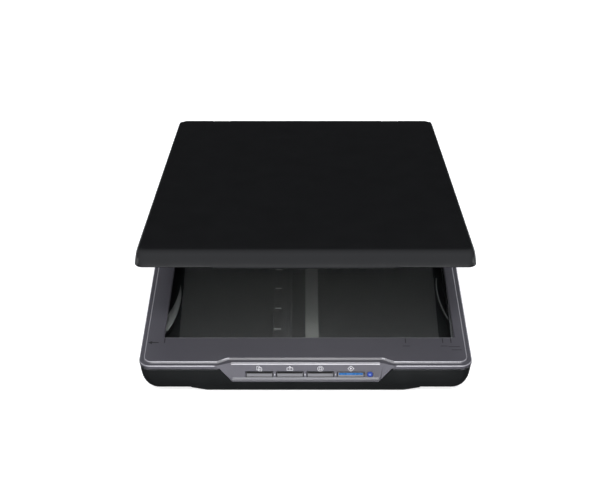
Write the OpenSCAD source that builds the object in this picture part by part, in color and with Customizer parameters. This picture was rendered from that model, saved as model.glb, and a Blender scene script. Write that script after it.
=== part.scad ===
// Slim flatbed document scanner: lift-off lid on two hinge posts, glass platen in a
// top frame with a sloped button panel, and a contact image sensor on a carriage that
// drives itself along a toothed rail. X is the width, Y runs to the rear, Z is up.
// The origin is the centre of the base on the surface that it stands on.

/* [Base] */
// Width of the base across its rim
base_w = 251.4; // [248:0.2:256]
// Depth of the base from front to rear
base_d = 364; // [360:1:372]
// Radius of the four corners in plan
corner_r = 9; // [8:0.5:12]
// Height of the top frame's flat top above the table
top_z = 30; // [30:0.1:31]
// Thickness of the casing walls
wall = 2; // [1.8:0.1:2.2]
// Height of the rubber feet under the keel
foot_h = 3; // [2.6:0.1:3.2]
// Half width of the keel under the base
keel_half = 75; // [72:0.5:76]

/* [Platen] */
// Width of the window over the glass
window_w = 223; // [216:1:224]
// Length of the window over the glass
window_l = 297; // [290:1:298]
// Thickness of the glass
glass_t = 2.5; // [2:0.1:2.5]

/* [Lid] */
// Width of the lid
lid_w = 247; // [246:0.1:248]
// Thickness of the lid's walls and top
lid_wall = 2.1; // [1.8:0.1:2.2]
// Radius of the barrel along the lid's rear edge
barrel_r = 6.1; // [5.8:0.1:6.2]
// Angle that the lid stands open at rest
lid_open = 13.35; // [1:0.05:60]

/* [Panel] */
// Width of one button
button_w = 19.2; // [18:0.1:20.8]
// Height of one button
button_h = 3.5; // [3:0.1:4.2]
// Distance between the centres of neighbouring buttons
button_pitch = 23; // [22:0.1:23.5]

/* [Drive] */
// Tooth size of the rack and of the small wheel that runs on it
rack_module = 0.8; // [0.8:0.1:0.8]
// Teeth on the small wheel that runs on the rack
rack_gear_teeth = 16; // [16:1:16]
// Tooth size of the wheel and the motor's pinion
motor_module = 0.5; // [0.5:0.1:0.5]
// Teeth on the large wheel
wheel_teeth = 32; // [32:1:32]
// Teeth on the motor's pinion
pinion_teeth = 14; // [14:1:14]

/* [Hidden] */
$fn = 64;
eps = 0.01;

// Base levels, from the table upwards.
keel_rise = 3;
keel_z = foot_h;
bottom_z = keel_z + keel_rise;
floor_z = bottom_z + wall;
keel_floor_z = keel_z + wall;
seam_z = 25.5;
shelf_z = 26.6;
ledge_z = top_z - 1.2;
ledge_w = 3.6;
plate_t = 2;
glass_top_z = top_z - 1.1;
glass_z = glass_top_z - glass_t;
tape_t = 0.12;
case_top_z = seam_z - 0.15;

// Platen window, off centre towards the right.
window_x = 2.9;
window_y = -149 + window_l / 2;
glass_margin = 4;
glass_w = window_w + 2 * glass_margin;
glass_l = window_l + 2 * glass_margin;

// The lower case's curved side, an ellipse quarter from side_top_z down to the bottom.
side_top_z = 22;
side_in = 0.7;
side_run = 6.5;
end_in = 0.4;
keel_end = 179.2;
end_run = 2.6;

// Hinge line and lid, with the lid described closed.
hinge_y = base_d / 2 - 0.3 - barrel_r;
hinge_z = 33;
hinge_x = 82;
lid_front_y = -181.5;
lid_corner_r = 6;
lid_top_z = hinge_z + barrel_r - 0.2;
lid_skirt_z = top_z + 0.3;
lid_ceiling = 2.4;
liner_z = top_z + 1.4;
knuckle_w = 15.4;
notch_w = knuckle_w + 0.6;
pin_r = 1.5;
pin_l = 30;
ear_w = 8;
post_w = 14;
post_t = 8;
post_foot_z = 9;
socket_gap = 0.2;
socket_y = hinge_y - 0.4;
shelf_y = hinge_y - barrel_r - 1.2;

// Panel: a plane through the recessed ledge, leaning back by panel_tilt.
panel_top_y = -178.7;
panel_bottom_z = 12.6;
panel_bottom_y = -181.7;
panel_tilt = atan((panel_top_y - panel_bottom_y) / (ledge_z - panel_bottom_z));
panel_h = (ledge_z - panel_bottom_z) / cos(panel_tilt);
panel_top_half = 67.5;
panel_inner_half = 58.5;
panel_bottom_half = 55.5;
plateau_notch_y = -174.2;
button_line = -9.6;
button_gap = 0.45;
button_x0 = -0.3 - 1.5 * button_pitch;
button_proud = 0.35;
button_travel = 0.6;
lamp_x = 48.7;
lamp_r = 2;

// Screws through the lower case into the top frame.
screw_spots = [[102, 163.5], [-102, 163.5], [102, -170], [-102, -170], [62, -170], [-62, -170]];
boss_r = 4;
screw_head_z = 18;

// Drive rail, with its rack pitch line on the right.
rail_x0 = -26.4;
rack_x = -11.5;
rail_y0 = -157;
rail_y1 = 175;
rail_z = 10.3;
rib_x = -16.1;
rib_w = 3;
rib_z = 12.2;
pocket_pitch = 27.1;
rack_addendum = 0.8 * rack_module;
rack_dedendum = 1.1 * rack_module;
tooth_play = 0.14;
pressure_angle = 20;
rack_pitch = PI * rack_module;

// Gear train, at the carriage's home by the rear.
gear_r = rack_module * rack_gear_teeth / 2;
wheel_r = motor_module * wheel_teeth / 2;
pinion_r = motor_module * pinion_teeth / 2;
gear_x = rack_x + gear_r;
gear_y = 165;
motor_y = 168;
motor_x = gear_x + sqrt(pow(wheel_r + pinion_r, 2) - pow(motor_y - gear_y, 2));
motor_angle = atan2(motor_y - gear_y, motor_x - gear_x);
gear_z = floor_z + 0.4;
wheel_z = 10.6;
wheel_t = 1.8;
gear_bore_r = 1.56;
axle_r = 1.5;

// Carriage.
tray_x0 = -110;
tray_x1 = 113;
tray_y0 = 141;
tray_y1 = 158;
tray_z = 12.8;
tray_t = 1.8;
tray_top_z = tray_z + tray_t;
sensor_x0 = -108;
sensor_x1 = 111;
sensor_y0 = 142.9;
sensor_y1 = 156.1;
sensor_z = 17;
sensor_top_z = 25.6;
scan_line_y = 151.5;
motor_r = 9;
motor_z = tray_top_z + 0.8;
ear_turn = -30;
motor_top_z = 23.9;

// Flat cable.
flex_x = 5.1;
flex_w = 10.6;
flex_t = 0.3;

// Top of the bowed ribs on the bed.
bed_rib_z = 12.2;

// Stand leg under the rear.
stand_half = 50;
stand_axis_y = 170.5;
stand_axis_z = keel_z + 1.55;
stand_front_y = 121;
stand_t = 2.4;
stand_pin_r = 1.2;

// Feet.
feet = [[61, -158], [-61, -158], [61, 148], [-61, 148]];
foot_r = 6;

// ---------------------------------------------------------------- helpers

module rounded_rect(w, d, r) {
    square([w - 2 * r, d], center = true);
    square([w, d - 2 * r], center = true);
    for (x = [-1, 1], y = [-1, 1])
        translate([x * (w / 2 - r), y * (d / 2 - r)]) circle(r);
}

module rounded_plate(w, d, r, z0, z1) {
    translate([0, 0, z0]) linear_extrude(z1 - z0) rounded_rect(w, d, r);
}

module box(x0, x1, y0, y1, z0, z1) {
    translate([x0, y0, z0]) cube([x1 - x0, y1 - y0, z1 - z0]);
}

module rod_x(x0, x1, y, z, r) {
    translate([x0, y, z]) rotate([0, 90, 0]) cylinder(r = r, h = x1 - x0);
}

module post(x, y, z0, z1, r) {
    translate([x, y, z0]) cylinder(r = r, h = z1 - z0);
}

// Extrudes a profile drawn in Y and Z along X.
module along_x(x0, x1) {
    translate([x0, 0, 0]) rotate([90, 0, 90]) linear_extrude(x1 - x0) children();
}

// Extrudes a profile drawn in X and Z along Y.
module along_y(y0, y1) {
    translate([0, y1, 0]) rotate([90, 0, 0]) linear_extrude(y1 - y0) children();
}

// Children are drawn on the panel: x along it, y up its slope, z out of its face.
module on_panel() {
    translate([0, panel_top_y, ledge_z]) rotate([90 - panel_tilt, 0, 0]) children();
}

// Children are described with the lid closed and are swung open with it.
module on_lid() {
    translate([0, hinge_y, hinge_z]) rotate([-lid_open, 0, 0])
        translate([0, -hinge_y, -hinge_z]) children();
}

// A tub with the case's curved sides, set in by the given distance all round.
module tub(inset, z_top) {
    hull() {
        for (t = [0:15:90]) {
            ix = side_in + inset + side_run * (1 - cos(t));
            iy = end_in + inset + end_run * (1 - cos(t));
            z = side_top_z - (side_top_z - bottom_z - inset) * sin(t);
            translate([0, 0, z]) linear_extrude(eps)
                rounded_rect(base_w - 2 * ix, base_d - 2 * iy, corner_r, $fn = 32);
        }
        translate([0, 0, z_top - eps]) linear_extrude(eps)
            rounded_rect(base_w - 2 * inset - 0.6, base_d - 2 * inset - 0.4, corner_r, $fn = 32);
    }
}

// Region cut from the rim in front of the panel and its two side facets.
module panel_recess(extra = 0) {
    y_out = -base_d / 2 - 1;
    z_up = ledge_z + 0.5 * extra;
    k = (z_up - panel_bottom_z) / (ledge_z - panel_bottom_z);
    y_in = panel_bottom_y + k * (panel_top_y - panel_bottom_y);
    half_out = panel_bottom_half + k * (panel_top_half - panel_bottom_half);
    half_in = panel_bottom_half + k * (panel_inner_half - panel_bottom_half);
    polyhedron(
        points = [
            [-half_out, y_out + 1, z_up], [-half_in, y_in, z_up],
            [half_in, y_in, z_up], [half_out, y_out + 1, z_up],
            [-half_out, y_out, z_up], [half_out, y_out, z_up],
            [-panel_bottom_half, panel_bottom_y, panel_bottom_z],
            [panel_bottom_half, panel_bottom_y, panel_bottom_z],
            [-panel_bottom_half, y_out, panel_bottom_z],
            [panel_bottom_half, y_out, panel_bottom_z]
        ],
        faces = [
            [4, 0, 1, 2, 3, 5], [0, 6, 1], [1, 6, 7, 2], [2, 7, 3],
            [0, 4, 8, 6], [3, 7, 9, 5], [4, 5, 9, 8], [6, 8, 9, 7]
        ]
    );
}

// Outline of the panel's plate seen from the front, from above the seam downwards.
module panel_outline(grow = 0) {
    z_up = seam_z + 1;
    k = (z_up - panel_bottom_z) / (ledge_z - panel_bottom_z);
    half_up = panel_bottom_half + k * (panel_top_half - panel_bottom_half);
    polygon([
        [-half_up - grow, z_up], [half_up + grow, z_up],
        [panel_bottom_half + grow, panel_bottom_z - grow],
        [-panel_bottom_half - grow, panel_bottom_z - grow]
    ]);
}

function button_x(i) = button_x0 + i * button_pitch;

// ---------------------------------------------------------------- casings

module lower_case_body() {
    tub(0, case_top_z);
    hull() {
        box(-keel_half - 12, keel_half + 12, -keel_end - 0.6, keel_end + 0.6, bottom_z, bottom_z + 1);
        box(-keel_half, keel_half, -keel_end, keel_end, keel_z, keel_z + eps);
    }
}

module lower_case_room() {
    tub(wall, case_top_z + 1);
    hull() {
        box(-keel_half - 8, keel_half + 8, -174, 117, floor_z, floor_z + eps);
        box(-keel_half, keel_half, -174, 116, keel_floor_z, keel_floor_z + 2 * eps);
    }
}

module hinge_socket(x) {
    box(x - post_w / 2 - wall, x + post_w / 2 + wall,
        socket_y - post_t / 2 - wall, 179, floor_z - 1, case_top_z);
}

module hinge_socket_hole(x, z0, z1) {
    box(x - post_w / 2 - socket_gap, x + post_w / 2 + socket_gap,
        socket_y - post_t / 2 - socket_gap, socket_y + post_t / 2 + socket_gap, z0, z1);
}

usb_x = 58;
usb_z = 12.2;

// Bowed ribs at the front of the bed: a crescent on the left and a thin wall on the right.
module bed_ribs() {
    z0 = floor_z - 0.5;
    intersection() {
        tub(1, case_top_z);
        union() {
            intersection() {
                difference() {
                    post(-220.95, -80, z0, bed_rib_z, 118.4);
                    post(-222.65, -59.3, z0 - 1, bed_rib_z + 1, 118.05);
                }
                box(-130, -100, -124, -58, 0, 40);
            }
            intersection() {
                difference() {
                    post(245.7, -65.5, z0, bed_rib_z, 137.1);
                    post(245.7, -65.5, z0 - 1, bed_rib_z + 1, 135.9);
                }
                box(100, 130, -118, -48, 0, 40);
            }
        }
    }
}

module lower_case() {
    color("#17181a") difference() {
        union() {
            difference() {
                lower_case_body();
                lower_case_room();
            }
            bed_ribs();
            box(rail_x0 - 0.6, rack_x, rail_y0 - 2, rail_y1 + 1, keel_floor_z - 1, floor_z);
            for (s = screw_spots)
                post(s[0], s[1], (abs(s[0]) < keel_half ? keel_z : bottom_z) + 0.5, case_top_z, boss_r);
            for (x = [-1, 1]) hinge_socket(x * hinge_x);
            for (x = [-44, 42]) post(x, -170, keel_floor_z - 1, 9, 2.6);
            for (x = [usb_x - 12, usb_x + 12]) post(x, 166, floor_z - 1, 9.6, 2.4);
        }
        for (s = screw_spots) {
            post(s[0], s[1], 0, screw_head_z, 3.2);
            post(s[0], s[1], screw_head_z - 1, case_top_z + 1, 1.6);
        }
        for (x = [-1, 1]) hinge_socket_hole(x * hinge_x, post_foot_z - 0.5, case_top_z + 1);
        for (x = [-44, 42]) post(x, -170, keel_floor_z + 0.5, 10, 1.1);
        for (x = [usb_x - 12, usb_x + 12]) post(x, 166, floor_z + 0.2, 10, 1);
        for (f = feet) post(f[0], f[1], 0, keel_z + 0.6, foot_r + 0.1);
        along_y(-base_d / 2 - 1, -176.5) panel_outline(0.15);
        box(usb_x - 4.4, usb_x + 4.4, 170, 184, usb_z - 1.9, usb_z + 1.9);
        // Bay for the folded stand leg, with its pivot bores and a finger scoop.
        box(-stand_half - 0.6, stand_half + 0.6, stand_front_y - 0.6, stand_axis_y + 2.6, 0, keel_z + 3.1);
        rod_x(-stand_half - 4, stand_half + 4, stand_axis_y, stand_axis_z, stand_pin_r + 0.06);
        rod_x(-15, 15, stand_front_y - 1, keel_z, 1.6);
    }
}

module plateau_notch() {
    polygon([
        [-panel_top_half - 1.5, -base_d / 2 - 1], [-panel_top_half + 1, -base_d / 2 + ledge_w],
        [-panel_inner_half, plateau_notch_y], [panel_inner_half, plateau_notch_y],
        [panel_top_half - 1, -base_d / 2 + ledge_w], [panel_top_half + 1.5, -base_d / 2 - 1]
    ]);
}

module frame_rim() {
    difference() {
        union() {
            rounded_plate(base_w, base_d, corner_r, seam_z, ledge_z);
            translate([0, 0, ledge_z - 1]) linear_extrude(top_z - ledge_z + 1) difference() {
                rounded_rect(base_w - 2 * ledge_w, base_d - 2 * ledge_w, corner_r - 2.5);
                plateau_notch();
            }
        }
        // Room under the top plate, and the lowered shelf for the lid's barrel.
        difference() {
            rounded_plate(base_w - 8, base_d - 8, corner_r - 4, seam_z - 1, top_z - plate_t);
            box(-130, 130, shelf_y - 1.6, 200, 0, 40);
            box(-panel_top_half - 3, panel_top_half + 3, -190, plateau_notch_y + 2, 0, 40);
        }
        box(-130, 130, shelf_y, 200, shelf_z, 40);
        panel_recess(1);
    }
}

module panel_plate() {
    intersection() {
        difference() {
            along_y(-base_d / 2, -170) panel_outline(-0.1);
            panel_recess();
        }
        on_panel() box(-80, 80, -panel_h - 5, 5, -2.2, 6);
    }
    intersection() {
        along_y(-base_d / 2, -170) panel_outline(-0.1);
        box(-80, 80, panel_bottom_y, -178.6, panel_bottom_z, panel_bottom_z + 2);
    }
}

module upper_frame() {
    color("#4b4b53") difference() {
        union() {
            difference() {
                frame_rim();
                // Hollow behind the panel, up to the plate over it.
                box(-panel_inner_half + 3, panel_inner_half - 3, -176.1, plateau_notch_y + 2.1,
                    seam_z - 1, ledge_z - 1.4);
                translate([window_x, window_y, 0])
                    rounded_plate(glass_w + 0.4, glass_l + 0.4, 1.5, seam_z - 1, glass_top_z + tape_t + 0.03);
                translate([window_x, window_y, 0]) rounded_plate(window_w, window_l, 1, 0, 40);
            }
            panel_plate();
            for (s = screw_spots)
                post(s[0], s[1], seam_z, top_z - plate_t + 0.2, boss_r);
            for (x = [-50, 53.6]) on_panel() translate([x, button_line, -7.39])
                cylinder(r = 1.4, h = 5.4);
        }
        for (s = screw_spots) post(s[0], s[1], seam_z - 1, seam_z + 2, 1.25);
        for (i = [0:3]) on_panel() translate([button_x(i), button_line, 0])
            box(-button_w / 2 - button_gap, button_w / 2 + button_gap,
                -button_h / 2 - button_gap, button_h / 2 + button_gap, -6, 6);
        on_panel() translate([lamp_x, button_line, -6]) cylinder(r = lamp_r + 0.1, h = 12);
        for (x = [-1, 1]) hinge_socket_hole(x * hinge_x, seam_z - 1, 40);
    }
}

module platen_glass() {
    color([0.75, 0.85, 0.85, 0.35]) translate([window_x, window_y, 0])
        rounded_plate(glass_w, glass_l, 1, glass_z, glass_top_z);
}

// Adhesive tape between the frame's lip and the glass, on three sides.
module glass_tape() {
    z0 = glass_top_z + 0.01;
    z1 = z0 + tape_t;
    x0 = window_x - window_w / 2;
    x1 = window_x + window_w / 2;
    y0 = window_y - window_l / 2;
    y1 = window_y + window_l / 2;
    color("#101010") {
        box(x0 - 3.6, x0 - 0.2, y0 - 3.6, y1 + 3.6, z0, z1);
        box(x1 + 0.2, x1 + 3.6, y0 - 3.6, y1 + 3.6, z0, z1);
        box(x0, x1, y0 - 3.6, y0 - 0.2, z0, z1);
    }
}

// White reference strip that the sensor reads at its home.
module calibration_strip() {
    y1 = window_y + window_l / 2;
    color("white")
        box(window_x - window_w / 2, window_x + window_w / 2, y1 + 0.2, y1 + 3.6,
            glass_top_z + 0.01, glass_top_z + 0.01 + tape_t);
}

module rubber_feet() {
    color("#202020") for (f = feet) {
        post(f[0], f[1], 0.6, keel_z + 0.55, foot_r);
        translate([f[0], f[1], 0]) cylinder(r1 = foot_r - 0.8, r2 = foot_r, h = 0.6);
    }
}

module case_screws() {
    color("silver") for (s = screw_spots) difference() {
        union() {
            post(s[0], s[1], screw_head_z - 2, screw_head_z, 2.8);
            post(s[0], s[1], screw_head_z, seam_z + 1.7, 1.2);
        }
        for (a = [0, 90]) translate([s[0], s[1], screw_head_z - 2]) rotate(a)
            cube([3.2, 0.7, 2], center = true);
    }
}

// ---------------------------------------------------------------- bed

module rack_teeth() {
    depth = rack_addendum + rack_dedendum;
    half_pitch = rack_pitch / 4 - tooth_play / 4;
    lean = tan(pressure_angle);
    first = ceil((rail_y0 + 2 - gear_y) / rack_pitch);
    last = floor((rail_y1 - 2 - gear_y) / rack_pitch);
    x_root = rack_x - rack_dedendum;
    x_tip = rack_x + rack_addendum;
    for (i = [first:last]) {
        y = gear_y + (i + 0.5) * rack_pitch;
        polygon([
            [x_root - 0.1, y - half_pitch - rack_dedendum * lean],
            [x_root, y - half_pitch - rack_dedendum * lean],
            [x_tip, y - half_pitch + rack_addendum * lean],
            [x_tip, y + half_pitch - rack_addendum * lean],
            [x_root, y + half_pitch + rack_dedendum * lean],
            [x_root - 0.1, y + half_pitch + rack_dedendum * lean]
        ]);
    }
}

module drive_rail() {
    color("#2b2c2e") {
        difference() {
            translate([0, 0, floor_z + 0.02]) linear_extrude(rail_z - floor_z - 0.02) union() {
                translate([rail_x0, rail_y0])
                    square([rack_x - rack_dedendum - rail_x0, rail_y1 - rail_y0]);
                rack_teeth();
            }
            // Row of open pockets with a rib between each pair.
            for (y = [rail_y0 + 15.4:pocket_pitch:rail_y1 - 10])
                box(rail_x0 + 1.2, rail_x0 + 6.8, y, min(y + pocket_pitch - 1.6, rail_y1 - 3),
                    floor_z + 0.6, rail_z + 1);
        }
        // Guide rib that the carriage's shoes straddle.
        box(rib_x - rib_w / 2, rib_x + rib_w / 2, rail_y0, rail_y1, rail_z - 0.5, rib_z);
    }
}

// Flat cable on the floor, from the main board to the rear, where it climbs a step.
module flex_cable() {
    low = keel_floor_z + 0.03;
    high = floor_z + 0.03;
    color("#c8cac6") along_x(flex_x - flex_w / 2, flex_x + flex_w / 2) polygon([
        [-164, low], [107, low], [115, high], [148, high],
        [148, high + flex_t], [115 - 0.1, high + flex_t], [107 - 0.1, low + flex_t],
        [-164, low + flex_t]
    ]);
}

// The cable's turn under the carriage, up into the sensor's connector.
module flex_loop() {
    z0 = floor_z + 0.03 + flex_t + 0.15;
    z1 = tray_z - 0.1;
    r = (z1 - z0) / 2;
    y_turn = 149;
    color("#c8cac6") along_x(flex_x - flex_w / 2, flex_x + flex_w / 2) {
        translate([y_turn, z0 + r]) intersection() {
            difference() {
                circle(r);
                circle(r - flex_t);
            }
            translate([0, -r - 1]) square([r + 1, 2 * r + 2]);
        }
        translate([142, z0]) square([y_turn - 142, flex_t]);
        translate([144, z1 - flex_t]) square([y_turn - 144, flex_t]);
    }
}

module main_board() {
    color("#1d5a3a") difference() {
        box(-52, 50, -174, -158.5, 9.02, 10.6);
        for (x = [-44, 42]) post(x, -170, 8, 12, 1.3);
    }
}

module board_parts() {
    color("#222326") {
        box(-30, -14, -172, -161, 10.62, 12);
        box(-8, 0, -170, -163, 10.62, 11.8);
        box(12, 30, -172, -168.5, 10.62, 13.5);
        box(46, 49.5, -165, -160, 10.62, 13.4);
        box(flex_x - 7, flex_x + 7, -163.5, -159.5, 5.4, 9);
        for (x = [-36, -40]) post(x, -163, 10.62, 15.5, 1.6);
    }
}

module board_screws() {
    color("silver") {
        for (x = [-44, 42]) {
            post(x, -170, 10.62, 11.8, 2.4);
            post(x, -170, keel_floor_z + 1.5, 10.62, 1.05);
        }
        for (x = [usb_x - 12, usb_x + 12]) {
            post(x, 166, 10.84, 11.8, 2);
            post(x, 166, floor_z + 0.6, 10.84, 0.95);
        }
    }
}

module button_board() {
    color("#1d5a3a") on_panel()
        box(-52, 55.6, button_line - 4.5, button_line + 4.5, -8.6, -7.4);
}

module tact_switches() {
    color("#8c8f93") on_panel() for (i = [0:3]) translate([button_x(i), button_line, 0])
        box(-3, 3, -3, 3, -7.39, -5.2);
}

module power_lamp() {
    color("#2f6fd0") on_panel() translate([lamp_x, button_line, 0]) {
        translate([0, 0, -2.4]) cylinder(r = lamp_r, h = 2.5);
        translate([0, 0, -7.39]) cylinder(r = lamp_r + 0.8, h = 5);
    }
}

module usb_board() {
    color("#1d5a3a") difference() {
        box(usb_x - 15, usb_x + 15, 161.5, 177.4, 9.62, 10.82);
        for (x = [usb_x - 12, usb_x + 12]) post(x, 166, 9, 12, 1.15);
    }
}

module usb_socket() {
    color("silver") difference() {
        box(usb_x - 3.75, usb_x + 3.75, 172, 178.6, 10.84, 13.6);
        box(usb_x - 3.4, usb_x + 3.4, 173, 180, 11.2, 13.25);
    }
    color("black") box(usb_x - 1.9, usb_x + 1.9, 172.5, 177.8, 11.95, 12.5);
}

// Flat harness from the socket's board, round the right side, to the main board.
module usb_harness() {
    color("#303236") {
        box(61.5, 66.5, 156, 163.4, 10.87, 11.87);
        box(61.5, 115.5, 155, 159, 10.87, 11.87);
        box(114.5, 115.5, 155, 159, 10.87, 19.5);
        box(114.5, 115.5, -164, 159, 15.5, 19.5);
        box(114.5, 115.5, -164, -160.5, 13.45, 19.5);
        box(47, 115.5, -164, -160.5, 13.45, 14.45);
    }
}

// ---------------------------------------------------------------- buttons and lamp

module button_cap(i) {
    on_panel() translate([button_x(i), button_line, 0]) {
        box(-button_w / 2, button_w / 2, -button_h / 2, button_h / 2, -2.6, button_proud);
        box(-button_w / 2 - 1, button_w / 2 + 1, -button_h / 2 - 1, button_h / 2 + 1, -4, -2.6);
        box(-1.5, 1.5, -1.5, 1.5, -4.4, -4);
    }
}

module button_pdf() color("#77777f") button_cap(0);

module button_send() color("#77777f") button_cap(1);

module button_copy() color("#77777f") button_cap(2);

module button_start() {
    color("#77777f") difference() {
        button_cap(3);
        on_panel() translate([button_x(3), button_line, 0])
            box(-button_w / 2 + 0.5, button_w / 2 - 0.5, 0, button_h / 2 - 0.3, button_proud - 0.4, 2);
    }
}

module start_button_window() {
    color("#1f73c0") on_panel() translate([button_x(3), button_line, 0])
        box(-button_w / 2 + 0.55, button_w / 2 - 0.55, 0.05, button_h / 2 - 0.35,
            button_proud - 0.38, button_proud + 0.02);
}

// ---------------------------------------------------------------- carriage

module carriage_tray() {
    color("#1c1d1f") difference() {
        union() {
            box(tray_x0, tray_x1, tray_y0, tray_y1, tray_z, tray_top_z);
            box(-28, 22, tray_y1 - 1, 176.6, tray_z, tray_top_z);
            for (y = [tray_y0, tray_y1 - 1.2])
                box(tray_x0, tray_x1, y, y + 1.2, tray_top_z - 0.1, 21);
            for (x = [tray_x0, tray_x1 - 1.4])
                box(x, x + 1.4, tray_y0, tray_y1, tray_top_z - 0.1, 21);
        }
        post(gear_x, gear_y, 0, 30, axle_r + 0.01);
        post(motor_x, motor_y, 0, 30, 2.2);
        for (k = [-1, 1]) post(ear_x(k), ear_y(k), tray_z + 0.4, 30, 0.9);
        box(flex_x - 8, flex_x + 8, 143, 147, tray_z - 1, tray_top_z + 1);
    }
}

module sensor_housing() {
    color("#26272a") difference() {
        box(sensor_x0, sensor_x1, sensor_y0, sensor_y1, sensor_z, sensor_top_z);
        box(sensor_x0 + 3, sensor_x1 - 3, scan_line_y - 1, scan_line_y + 1.4, sensor_z + 2, 30);
        box(sensor_x0 + 3, sensor_x1 - 3, 145.2, 149.2, sensor_z + 4, 30);
        box(sensor_x0 + 2, sensor_x1 - 2, sensor_y0 + 1, sensor_y1 - 1, sensor_z - 1, sensor_z + 1.2);
    }
}

module lens_array() {
    color("#0d0d0f") box(sensor_x0 + 3.1, sensor_x1 - 3.1, scan_line_y - 0.95, scan_line_y + 1.35,
        sensor_z + 2.05, sensor_top_z - 0.6);
}

module light_guide() {
    color("#e8f0f4") intersection() {
        translate([0, 147.2, sensor_z + 6.2]) rotate([0, 90, 0])
            translate([0, 0, sensor_x0 + 3.1]) cylinder(r = 1.9, h = sensor_x1 - sensor_x0 - 6.2);
        box(-200, 200, 145, 150, sensor_z + 4.2, 30);
    }
}

module sensor_board() {
    color("#1d5a3a") box(sensor_x0 + 2.1, sensor_x1 - 2.1, sensor_y0 + 1.1, sensor_y1 - 1.1,
        sensor_z, sensor_z + 1.1);
    color("#e0ddd0") box(flex_x - 7, flex_x + 7, sensor_y0 + 1.6, sensor_y0 + 4.6,
        sensor_z - 1.6, sensor_z - 0.02);
}

// Plastic pads on the sensor that slide under the glass.
module sensor_glides() {
    color("#f2f2ee") for (x = [sensor_x0 + 0.4, sensor_x1 - 2.4], y = [143.6, 153.4])
        box(x, x + 2, y, y + 2, sensor_top_z + 0.01, glass_z - 0.06);
}

// Leaf springs that press the sensor up against the glass.
module leaf_springs() {
    rise = sensor_z - tray_top_z - 0.04;
    r = (25 + rise * rise) / (2 * rise) * 1.3;
    color("silver") for (x = [-90, 92]) translate([x, 149.5, 0])
        rotate([90, 0, 90]) linear_extrude(6, center = true) intersection() {
            translate([0, tray_top_z + 0.02 + rise - r]) difference() {
                circle(r, $fn = 128);
                circle(r - 0.25, $fn = 128);
            }
            translate([-6, tray_top_z + 0.02]) square([12, rise + 1]);
        }
}

// Two saddles that straddle the guide rib.
module guide_shoes() {
    play = 0.12;
    color("#e6e6e0") for (y = [[142.5, 153], [173, 176.4]]) difference() {
        box(rib_x - rib_w / 2 - 1.6, rib_x + rib_w / 2 + 1.6, y[0], y[1], rail_z + 0.3, tray_z - 0.01);
        box(rib_x - rib_w / 2 - play, rib_x + rib_w / 2 + play, y[0] - 1, y[1] + 1, 0, rib_z + 0.15);
    }
}

function ear_x(k) = motor_x + k * 11.2 * cos(ear_turn);

function ear_y(k) = motor_y + k * 11.2 * sin(ear_turn);

module drive_motor() {
    color("#9a9da2") difference() {
        union() {
            post(motor_x, motor_y, motor_z, motor_top_z, motor_r);
            translate([motor_x, motor_y, tray_top_z + 0.02]) rotate(ear_turn)
                linear_extrude(0.8) union() {
                    circle(motor_r + 0.4);
                    square([22.4, 4.4], center = true);
                    for (x = [-1, 1]) translate([x * 11.2, 0]) circle(2.5);
                }
        }
        post(motor_x, motor_y, 0, motor_z + 4, 1.1);
        for (k = [-1, 1]) post(ear_x(k), ear_y(k), 0, 30, 1);
    }
}

module motor_screws() {
    color("silver") for (k = [-1, 1]) {
        post(ear_x(k), ear_y(k), tray_top_z + 0.84, tray_top_z + 1.9, 1.6);
        post(ear_x(k), ear_y(k), tray_z + 0.6, tray_top_z + 0.9, 0.85);
    }
}

module gear_axle() {
    color("silver") post(gear_x, gear_y, gear_z - 0.1, tray_top_z + 0.3, axle_r);
}

// ---------------------------------------------------------------- gears

function involute(a) = tan(a) * 180 / PI - a;

// Half the angle that a tooth takes up at radius r, in degrees.
function half_tooth(teeth, m, r, play) =
    let (rp = m * teeth / 2, rb = rp * cos(pressure_angle))
    90 / teeth - play / (4 * rp) * 180 / PI + involute(pressure_angle)
    - (r > rb ? involute(acos(rb / r)) : 0);

function polar(r, a) = [r * cos(a), r * sin(a)];

// A spur gear's outline, with one tooth centred on the +X axis.
function gear_outline(teeth, m, play) =
    let (
        rp = m * teeth / 2,
        tip = rp + 0.8 * m,
        root = rp - 1.1 * m,
        start = max(root, rp * cos(pressure_angle)),
        radii = [root, for (k = [0:4]) start + (tip - start) * k / 4 + 0.0001]
    )
    [for (i = [0:teeth - 1]) let (mid = i * 360 / teeth) each concat(
        [for (k = [0:5]) polar(radii[k], mid - half_tooth(teeth, m, radii[k], play))],
        [for (k = [5:-1:0]) polar(radii[k], mid + half_tooth(teeth, m, radii[k], play))]
    )];

module spur_gear(teeth, m, t) {
    linear_extrude(t) polygon(gear_outline(teeth, m, tooth_play));
}

// Small wheel on the rack with the large wheel above it, in one moulding.
module reduction_gear() {
    color("#ece9dd") translate([gear_x, gear_y, 0]) difference() {
        union() {
            translate([0, 0, gear_z]) rotate(180) spur_gear(rack_gear_teeth, rack_module, wheel_z - gear_z);
            translate([0, 0, wheel_z]) rotate(motor_angle) spur_gear(wheel_teeth, motor_module, wheel_t);
        }
        translate([0, 0, gear_z - 1]) cylinder(r = gear_bore_r, h = 10);
    }
}

module motor_pinion() {
    color("#b8a06a") translate([motor_x, motor_y, 0]) union() {
        translate([0, 0, wheel_z - 0.1])
            rotate(motor_angle + 180 + 180 / pinion_teeth)
                spur_gear(pinion_teeth, motor_module, wheel_t + 0.2);
        translate([0, 0, wheel_z]) cylinder(r = 1, h = motor_z + 3.5 - wheel_z);
    }
}

// ---------------------------------------------------------------- stand leg

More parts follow.
